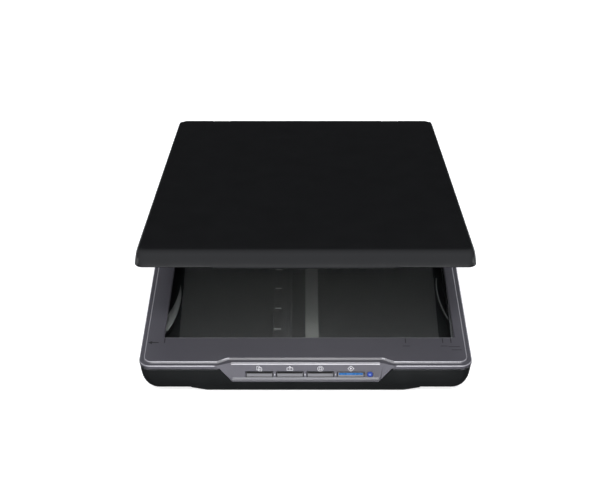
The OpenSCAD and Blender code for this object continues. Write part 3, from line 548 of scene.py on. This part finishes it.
# Finger lip under the front edge, with tapered ends.
bm = bmesh.new()
lip = []
LIP_ENDS = [(64, 1.25), (66.5, 0.5), (68, 0.05)]
for x, deep in [(-x, d) for x, d in LIP_ENDS[::-1]] + [(-30, 1.3), (0, 1.3), (30, 1.3)] + LIP_ENDS:
    section = [(0.02, 1.2), (0.02, 0.1), (0.25, -deep * 0.8), (0.7, -deep), (1.9, -deep), (2.3, 0.4)]
    lip.append([bm.verts.new(on_lid(x, LID_FRONT + y, LID_SKIRT + z)) for y, z in section])
loft(bm, lip)
add_piece("lid_finger_lip", bm, "lid", "lid", "lid_plastic")

# Barrel along the rear edge: tubes between the hinge knuckles, with closed ears round the pins.
bm = bmesh.new()


def tube(profile, n=48):
    """A wall turned round the hinge axis, from places along it and radii."""
    rings = []
    for x, r in profile:
        rings.append([bm.verts.new(on_lid(x, y, z)) for y, z in disc_outline(HINGE_Y, HINGE_Z, r, n)])
    loop_loft(bm, rings)


END_GAP, END_ROUND, END_R = 0.02, 0.35, 1.6


def barrel_end(x, way):
    """The barrel's end at a notch, from its bore out, the barrel going on in the given direction."""
    face = x + way * END_GAP
    return [(face, PIN_BORE), (face, BARREL_R - END_ROUND), (face + way * END_ROUND, BARREL_R)]


middle = barrel_end(KNUCKLE - NOTCH, -1)
tube(middle + [(-x, r) for x, r in middle[::-1]])
round_end = [(BARREL_END - REAR_CORNER * (1 - math.sin(a)), END_R + (BARREL_R - END_R) * math.cos(a))
             for a in (math.radians(10 * k) for k in range(10))]
outer = barrel_end(KNUCKLE + NOTCH, 1) + round_end + [(BARREL_END, PIN_BORE)]
tube(outer)
tube([(-x, r) for x, r in outer])
add_piece("lid_barrel", bm, "lid", "lid", "lid_plastic", "lid_shell")

# The document pad: foam with a white film, edges pulled down where it is heat-cut.
pad_lo, pad_hi = (-107.1, -147.5), (112.9, 146.5)
bm = bmesh.new()
COLS, ROWS = 36, 48
grid = {}
for side, z_mid, pull_depth, pull_width in (("low", 29.12, 0.75, 1.6), ("high", 31.36, -0.1, 1.2)):
    for i in range(COLS + 1):
        for j in range(ROWS + 1):
            x = pad_lo[0] + (pad_hi[0] - pad_lo[0]) * i / COLS
            y = pad_lo[1] + (pad_hi[1] - pad_lo[1]) * j / ROWS
            to_edge = min(x - pad_lo[0], pad_hi[0] - x, y - pad_lo[1], pad_hi[1] - y)
            pull = pull_depth * math.exp(-to_edge / pull_width)
            grid[side, i, j] = bm.verts.new(on_lid(x, y, z_mid + pull))
for side in ("low", "high"):
    for i in range(COLS):
        for j in range(ROWS):
            quad = ((i, j), (i + 1, j), (i + 1, j + 1), (i, j + 1))
            add_face(bm, [grid[side, a, b] for a, b in quad])
rim = [(i, 0) for i in range(COLS)] + [(COLS, j) for j in range(ROWS)]
rim += [(i, ROWS) for i in range(COLS, 0, -1)] + [(0, j) for j in range(ROWS, 0, -1)]
join_rings(bm, [grid["low", i, j] for i, j in rim], [grid["high", i, j] for i, j in rim])
pad = add_piece("document_pad", bm, "film", "lid", "mat_foam", "document_mat")

# ---------------------------------------------------------------- button panel

# The panel leans back. Places on it are x, up along its face, and out from its face.
PANEL_Y, PANEL_Z = -178.7, 28.8
TILT_COS, TILT_SIN = 0.9833, 0.1821


def on_panel(x, up, out):
    y = PANEL_Y + TILT_SIN * up - TILT_COS * out
    z = PANEL_Z + TILT_COS * up + TILT_SIN * out
    return (x * MM, y * MM, z * MM)


def on_top(x, y, z):
    return (x * MM, y * MM, z * MM)


BUTTON_X = [-34.8, -11.8, 11.2, 34.2]
BUTTON_Y = -9.6
BUTTON_HALF_W, BUTTON_HALF_H = 9.6, 1.75
LAMP_X = 48.7
ICON_Y = -4.6
ICON_LINE = 0.32
INK = 0.02


def ink(bm, points, closed=True):
    """A line of print on the panel."""
    for quad in stroke(points, ICON_LINE, closed):
        slab(bm, quad, 0.0, INK, on_panel)


def box_points(x, y, left, low, right, high):
    return [(x + left, y + low), (x + right, y + low), (x + right, y + high), (x + left, y + high)]


# Two pages, a box with an arrow, a ring with a square in it, and a diamond with a triangle in it.
bm = bmesh.new()
x, y = BUTTON_X[0], ICON_Y
for dx, dy in ((-0.7, 0.5), (0.6, -0.5)):
    ink(bm, [(x + dx - 1.2, y + dy - 1.6), (x + dx + 1.2, y + dy - 1.6), (x + dx + 1.2, y + dy + 0.9),
             (x + dx + 0.5, y + dy + 1.6), (x + dx - 1.2, y + dy + 1.6)])
x = BUTTON_X[1]
ink(bm, box_points(x, y, -2.2, -1.4, 2.2, 0.7))
ink(bm, [(x, y - 0.7), (x, y + 2.1)], closed=False)
ink(bm, [(x - 0.9, y + 1.2), (x, y + 2.1), (x + 0.9, y + 1.2)], closed=False)
x = BUTTON_X[2]
ink(bm, disc_outline(x, y, 2.1, 18))
ink(bm, box_points(x, y, -0.9, -0.9, 0.9, 0.9))
x = BUTTON_X[3]
ink(bm, [(x - 2.3, y), (x, y - 2.3), (x + 2.3, y), (x, y + 2.3)])
slab(bm, [(x - 0.6, y - 0.9), (x + 0.9, y), (x - 0.6, y + 0.9)], 0.0, INK, on_panel)
add_piece("panel_icons", bm, "print", "base", "frame_plastic")

# Short bars between the buttons.
bm = bmesh.new()
for a, b in zip(BUTTON_X, BUTTON_X[1:]):
    slab(bm, box_points((a + b) / 2, 0, -0.5, -10.4, 0.5, -8.9), -0.05, 0.12, on_panel)
add_piece("panel_bars", bm, "dot", "base", "frame_plastic")

# The blue window of the right-hand button, its upper corners rounder than its lower ones.
bm = bmesh.new()
WINDOW_HALF, WINDOW_LOW, WINDOW_HIGH = 9.15, BUTTON_Y - 0.25, BUTTON_Y + 1.6
UPPER_R, LOWER_R = 0.3, 0.15
right, top, bottom = WINDOW_HALF - UPPER_R, WINDOW_HIGH - UPPER_R, WINDOW_LOW + LOWER_R
window_out = []
for cx, cy, r, start in ((right, top, UPPER_R, 0), (-right, top, UPPER_R, 90),
                         (-right, bottom, LOWER_R, 180), (right, bottom, LOWER_R, 270)):
    window_out += arc(BUTTON_X[3] + cx, cy, r, start, start + 90, 4)
slab(bm, window_out, 0.1, 0.47, on_panel)
add_piece("start_window", bm, "blue", "button_start", "start_window", "start_button_window")

# The ring round the lamp.
bm = bmesh.new()
ring_profile = [(0.95, 0.0), (0.95, 0.2), (1.15, 0.3), (1.75, 0.3), (2.05, 0.16), (2.1, 0.0)]
loop_loft(bm, [[bm.verts.new(on_panel(x, up, out)) for x, up in disc_outline(LAMP_X, BUTTON_Y, r, 32)]
               for r, out in ring_profile])
add_piece("lamp_ring", bm, "ring", "base", "lamp_plastic")

# ---------------------------------------------------------------- frame

# Page-size marks on the flat frame in front of the glass.
bm = bmesh.new()
MARK_Z, MARK_THICK = 30.0, 0.015


def mark(outline):
    slab(bm, outline, MARK_Z, MARK_Z + MARK_THICK, on_top)


for x in (-108.1, 76.7, 105.2, 111.5):
    mark(box_points(x, 0, -0.35, -155.8, 0.35, -150.3))
mark([(-120.6, -155.4), (-117.6, -157.4), (-117.6, -153.4)])
mark([(-117.6, -155.9), (-112.6, -155.9), (-112.6, -154.9), (-117.6, -154.9)])
for x0, x1, y in ((74.6, 79.4, -159.6), (103.4, 108.2, -159.6),
                  (109.4, 117.4, -160.4), (111.5, 118.6, -164.2)):
    for quad in stroke([(x0, y), (x1, y)], 0.6):
        mark(quad)
add_piece("size_marks", bm, "mark", "base", "frame_plastic")

# Strips along the frame's edges and the case's seam: flat chamfer facets that catch the key light, drawn in a
# lighter grey that paints highlights on them.
def edge_line(bm, path, z, width, lift=0.04):
    """A flat chamfer strip along a path with the solid on its left."""
    section = [(width, lift), (0.0, -width + lift), (0.0, -width), (width, -width)]
    rings = []
    for k, (x, y) in enumerate(path):
        (xa, ya), (xb, yb) = path[max(k - 1, 0)], path[min(k + 1, len(path) - 1)]
        length = math.hypot(xb - xa, yb - ya)
        nx, ny = (ya - yb) / length, (xb - xa) / length
        rings.append([bm.verts.new(on_top(x + nx * i, y + ny * i, z + h)) for i, h in section])
    loft(bm, rings)


def both_sides(path):
    """A path on the left, and its mirror image run the other way, so the solid stays on the left."""
    return path, [(-x, y) for x, y in path[::-1]]


HALF_W, HALF_D, CORNER = 125.7, 182.0, 9.0
LEDGE, TOP_Z, LEDGE_Z, SEAM_Z = 3.6, 30.0, 28.8, 25.35
REAR_Y = 168.1
top_x, top_y, top_r = HALF_W - LEDGE, HALF_D - LEDGE, CORNER - 2.5
RECESS_Y = -174.2
bm = bmesh.new()
plateau = [(-top_x, REAR_Y), (-top_x, 60), (-top_x, -60)]
plateau += arc(-top_x + top_r, -top_y + top_r, top_r, 180, 270)
plateau += [(-90, -top_y), (-66.8, -top_y), (-58.7, RECESS_Y), (-57.5, RECESS_Y)]
for path in both_sides(plateau):
    edge_line(bm, path, TOP_Z, 0.56)
add_piece("plateau_edge_highlight", bm, "edge_highlight_grey", "base", "frame_plastic")
bm = bmesh.new()
ledge = [(-HALF_W, REAR_Y), (-HALF_W, 60), (-HALF_W, -60)]
ledge += arc(-HALF_W + CORNER, -HALF_D + CORNER, CORNER, 180, 270, 14)
ledge += [(-90, -HALF_D), (-68.4, -HALF_D)]
for path in both_sides(ledge):
    edge_line(bm, path, LEDGE_Z, 0.6, lift=0.06)
add_piece("rim_edge_highlight", bm, "edge_highlight_grey", "base", "frame_plastic")
bm = bmesh.new()
SEAM_Y = -HALF_D + 0.2
seam = arc(-HALF_W + CORNER + 0.3, SEAM_Y + CORNER, CORNER, 200, 270, 12)
seam += [(-90, SEAM_Y), (-65.6, SEAM_Y)]
for path in both_sides(seam):
    edge_line(bm, path, SEAM_Z, 0.4)
# The dots' pale grey here paints a highlight along the case's top edge.
add_piece("seam_edge_highlight", bm, "dot", "base", "case_plastic")

# The panel's top edge and its lower lip, in lighter greys that paint highlights on them; a slab of the case's
# black below the lip that paints the shadow gap; and a dark line round each button.
bm = bmesh.new()
top_edge = [(-177.3, 28.82), (-178.2, 28.98), (-179.3, 28.0), (-179.15, 27.7), (-178.6, 27.6), (-177.3, 28.4)]
loft(bm, [[bm.verts.new(on_top(x, y, z)) for y, z in top_edge] for x in (-56.0, -30, 0, 30, 56.0)])
add_piece("panel_top_edge_highlight", bm, "edge_highlight_grey", "base", "frame_plastic")
bm = bmesh.new()
lower_lip = [(-12.3, -0.02), (-12.7, 0.3), (-13.1, 0.42), (-13.7, 0.3), (-14.7, 0.05), (-14.7, -0.3),
             (-12.3, -0.3)]
loft(bm, [[bm.verts.new(on_panel(x, up, out)) for up, out in lower_lip] for x in (-55.2, -20, 20, 55.2)])
add_piece("panel_lower_lip_highlight", bm, "lip", "base", "frame_plastic")
bm = bmesh.new()
slab(bm, [(-54.9, -16.15), (54.9, -16.15), (55.9, -14.75), (-55.9, -14.75)], -0.3, 0.12, on_panel)
add_piece("panel_shadow_gap", bm, "case", "base", "case_plastic")
bm = bmesh.new()
GAP = 0.45
BEZEL = ((0.07, -1.6), (0.07, -0.05), (0.3, 0.03), (0.6, 0.03), (0.62, -0.03), (GAP - 0.03, -0.05),
         (GAP - 0.03, -1.6))
for x in BUTTON_X:
    rings = []
    for grow, out in BEZEL:
        w, h = BUTTON_HALF_W + grow, BUTTON_HALF_H + grow
        corners = box_points(x, BUTTON_Y, -w, -h, w, h)
        rings.append([bm.verts.new(on_panel(px, up, out)) for px, up in corners])
    loop_loft(bm, rings)
# The three plain buttons have a dark strip along their upper edge: painted shadow from the panel's top edge.
for x in BUTTON_X[:3]:
    slab(bm, box_points(x, BUTTON_Y, -9.3, 1.05, 9.3, 2.1), 0.38, 0.5, on_panel)
add_piece("button_bezels_and_shadows", bm, "mark", "base", "frame_plastic")

# A dark strip over the window's chamfered edge, all round.
bm = bmesh.new()
GLASS_LEFT, GLASS_RIGHT, GLASS_FRONT, GLASS_REAR = -108.6, 114.4, -149, 148
rings = []
for grow, z in ((0.86, 30.03), (-0.03, 29.16), (-0.03, 28.7), (0.86, 29.5)):
    corners = box_points(0, 0, GLASS_LEFT - grow, GLASS_FRONT - grow, GLASS_RIGHT + grow, GLASS_REAR + grow)
    rings.append([bm.verts.new(on_top(x, y, z)) for x, y in corners])
loop_loft(bm, rings)
add_piece("window_edge_dark_strip", bm, "tape", "base", "black_tape")

# ---------------------------------------------------------------- bed

# Pale strips on the tops of the bowed ribs at the sides, a painted highlight on the black ribs. Each edge of
# a rib is an arc, drawn over a range of y.
RIB_TOP, RIB_CAP_TOP, RIB_STEPS = 12.1, 12.3, 22


def bow(centre_x, centre_y, radius, y, way):
    return centre_x + way * math.sqrt(radius ** 2 - (y - centre_y) ** 2)


bm = bmesh.new()
left, right = [], []
for k in range(RIB_STEPS + 1):
    y = -120 + 61.5 * k / RIB_STEPS
    outer_x = bow(-220.95, -80, 118.4, y, 1)
    inner_x = bow(-222.65, -59.3, 118.05, y, 1)
    left.append((outer_x - 0.05, y))
    right.append((max(min(inner_x, outer_x - 0.2) + 0.05, -117.2), y))
slab(bm, left + right[::-1], RIB_TOP, RIB_CAP_TOP, on_top)
rows = [-112 + 63 * k / RIB_STEPS for k in range(RIB_STEPS + 1)]
left = [(bow(245.7, -65.5, 137.0, y, -1), y) for y in rows]
right = [(bow(245.7, -65.5, 136.0, y, -1), y) for y in rows]
slab(bm, left + right[::-1], RIB_TOP, RIB_CAP_TOP, on_top)
add_piece("bed_rib_highlights", bm, "painted_highlight_grey", "base", "case_plastic")

# The rail's pockets: pale bars between them that paint highlights, and dark floors in them that paint shade.
POCKET_LEFT, POCKET_RIGHT = -25.1, -19.7
POCKET_START, POCKET_PITCH, POCKETS = -141.6, 27.1, 11
bm = bmesh.new()
bar = [(-0.75, 10.2), (-0.75, 10.42), (-0.4, 10.6), (0.4, 10.6), (0.75, 10.42), (0.75, 10.2)]
for k in range(1, POCKETS):
    y = POCKET_START + POCKET_PITCH * k - 0.8
    loft(bm, [[bm.verts.new(on_top(x, y + dy, z)) for dy, z in bar] for x in (POCKET_LEFT, POCKET_RIGHT)])
add_piece("pocket_bar_highlights", bm, "painted_highlight_grey", "base", "case_plastic")
bm = bmesh.new()
for k in range(POCKETS):
    y = POCKET_START + POCKET_PITCH * k
    slab(bm, box_points(0, y, POCKET_LEFT, 0.1, POCKET_RIGHT, 25.4), 9.3, 9.4, on_top)
add_piece("pocket_floor_shade", bm, "mark", "base", "case_plastic")

# Blank rating plate sunk in the keel.
bm = bmesh.new()
PLATE_HALF_W, PLATE_HALF_D, PLATE_R, PLATE_Y = 26, 18, 3, -20
plate_outline = []
for sx, sy, start in ((1, 1, 0), (-1, 1, 90), (-1, -1, 180), (1, -1, 270)):
    plate_outline += arc(sx * PLATE_HALF_W, PLATE_Y + sy * PLATE_HALF_D, PLATE_R, start, start + 90, 5)
slab(bm, plate_outline, 2.9, 3.02, on_top)
add_piece("rating_plate", bm, "plate", "base", "case_plastic")

# The glass casts no shadow, so the bed under it is lit.
nodes["platen_glass"].visible_shadow = False


# ---------------------------------------------------------------- stage

def plane(name, size, z):
    me = bpy.data.meshes.new(name)
    bm = bmesh.new()
    bmesh.ops.create_grid(bm, x_segments=2, y_segments=2, size=size)
    bm.to_mesh(me)
    bm.free()
    obj = bpy.data.objects.new(name, me)
    obj.location.z = z
    bpy.context.scene.collection.objects.link(obj)
    return obj


floor = plane("floor", 20, -0.0002)
floor_mat, tree, bsdf = node_material("floor_pale")
bsdf.inputs["Base Color"].default_value = (0.86, 0.86, 0.86, 1)
bsdf.inputs["Roughness"].default_value = 0.8
bsdf.inputs["Specular IOR Level"].default_value = 0.1
bsdf.inputs["Emission Color"].default_value = (1, 1, 1, 1)
bsdf.inputs["Emission Strength"].default_value = 0.55
set_material(floor, floor_mat)
floor.visible_glossy = False
floor.visible_diffuse = False
floor.visible_transmission = False


def area_light(name, place, target, size, power):
    data = bpy.data.lights.new(name, "AREA")
    data.shape = "RECTANGLE"
    data.size, data.size_y = size
    data.energy = power
    obj = bpy.data.objects.new(name, data)
    obj.location = place
    aim = Vector(target) - Vector(place)
    obj.rotation_euler = aim.to_track_quat("-Z", "Y").to_euler()
    bpy.context.scene.collection.objects.link(obj)
    return obj


area_light("key", (0, -1.3, 1.8), (0, 0, 0), (1.8, 0.36), 26)
area_light("front", (0, -1.62, 1.62), (0, 0, 0), (2.6, 1.2), 20)
under = area_light("under_lid", (0, -0.245, 0.02), (0, -0.1, 0.1), (0.26, 0.03), 0.2)
under.visible_camera = False
under.visible_glossy = False
area_light("left", (-1.9, 0.3, 0.8), (0, 0, 0.03), (0.5, 1.2), 3)
area_light("right", (1.9, 0.3, 0.8), (0, 0, 0.03), (0.5, 1.2), 3)

# The world is dark at the horizon and brighter overhead. Reflections alone also see a glow below the horizon,
# ahead of the object and at its sides, and the camera sees plain white.
world = bpy.data.worlds.new("studio")
bpy.context.scene.world = world
world.use_nodes = True
wt = world.node_tree
wt.nodes.clear()
w_out = wt.nodes.new("ShaderNodeOutputWorld")
w_bg = wt.nodes.new("ShaderNodeBackground")
w_coord = wt.nodes.new("ShaderNodeTexCoord")
w_split = wt.nodes.new("ShaderNodeSeparateXYZ")
w_bg.inputs["Color"].default_value = (0.92, 0.94, 1, 1)
wt.links.new(w_coord.outputs["Generated"], w_split.inputs[0])


def world_curve(value, *stops):
    """Brightness along a value from 0 to 1, from its stops."""
    node = wt.nodes.new("ShaderNodeValToRGB")
    elements = node.color_ramp.elements
    elements[0].position, elements[1].position = 0.0, 1.0
    for place, level in stops[1:-1]:
        elements.new(place)
    for element, (place, level) in zip(elements, stops):
        element.position = place
        element.color = (level, level, level, 1)
    wt.links.new(value, node.inputs["Fac"])
    return node.outputs["Color"]


def world_math(operation, a, b):
    node = wt.nodes.new("ShaderNodeMath")
    node.operation = operation
    wt.links.new(a, node.inputs[0])
    wt.links.new(b, node.inputs[1])
    return node.outputs[0]


def half_range(output):
    """A direction's part, from -1 to 1, turned into 0 to 1."""
    node = wt.nodes.new("ShaderNodeMapRange")
    node.inputs["From Min"].default_value = -1
    wt.links.new(output, node.inputs["Value"])
    return node.outputs[0]


height = half_range(w_split.outputs["Z"])
sky = world_curve(height, (0.0, 0.04), (0.4, 0.03), (0.5, 0.012), (0.58, 0.012), (0.64, 0.08), (0.7, 0.22),
                  (0.82, 0.45), (0.92, 0.7), (1.0, 0.75))
table = world_curve(height, (0.0, 0.0), (0.28, 0.05), (0.38, 0.55), (0.44, 0.9), (0.48, 0.5), (0.5, 0.0),
                    (1.0, 0.0))
ahead = world_curve(half_range(w_split.outputs["Y"]), (0.0, 1.0), (0.25, 0.7), (0.45, 0.1), (0.55, 0.03),
                    (1.0, 0.02))
aside = world_curve(half_range(w_split.outputs["X"]), (0.0, 1.0), (0.12, 1.0), (0.28, 0.7), (0.34, 0.0),
                    (0.66, 0.0), (0.72, 0.7), (0.88, 1.0), (1.0, 1.0))
low = world_curve(height, (0.0, 0.0), (0.38, 0.0), (0.42, 1.0), (0.47, 1.0), (0.5, 0.0), (1.0, 0.0))
w_path = wt.nodes.new("ShaderNodeLightPath")
mirrored = world_math("ADD", world_math("MULTIPLY", table, ahead), world_math("MULTIPLY", aside, low))
mirrored = world_math("ADD", mirrored, mirrored)
brightness = world_math("ADD", sky, world_math("MULTIPLY", mirrored, w_path.outputs["Is Glossy Ray"]))
w_mix = wt.nodes.new("ShaderNodeMix")
w_mix.data_type = "FLOAT"
w_mix.inputs["B"].default_value = 1.0
wt.links.new(w_path.outputs["Is Camera Ray"], w_mix.inputs["Factor"])
wt.links.new(brightness, w_mix.inputs["A"])
wt.links.new(w_mix.outputs["Result"], w_bg.inputs["Strength"])
wt.links.new(w_bg.outputs[0], w_out.inputs[0])
bpy.context.scene.view_settings.view_transform = "Standard"

cam_data = bpy.data.cameras.new("camera")
cam = bpy.data.objects.new("camera", cam_data)
bpy.context.scene.collection.objects.link(cam)
SENSOR_WIDTH, IMAGE_WIDTH, FOCAL_PIXELS, CAMERA_PITCH = 36, 612, 1266.2, 34.791
cam_data.sensor_width = SENSOR_WIDTH
cam_data.lens = SENSOR_WIDTH * FOCAL_PIXELS / IMAGE_WIDTH
cam_data.clip_start = 0.01
cam_data.clip_end = 60
cam.location = (0.00035, -0.91196, 0.64201)
cam.rotation_euler = (math.radians(90 - CAMERA_PITCH), 0, 0)
bpy.context.scene.camera = cam
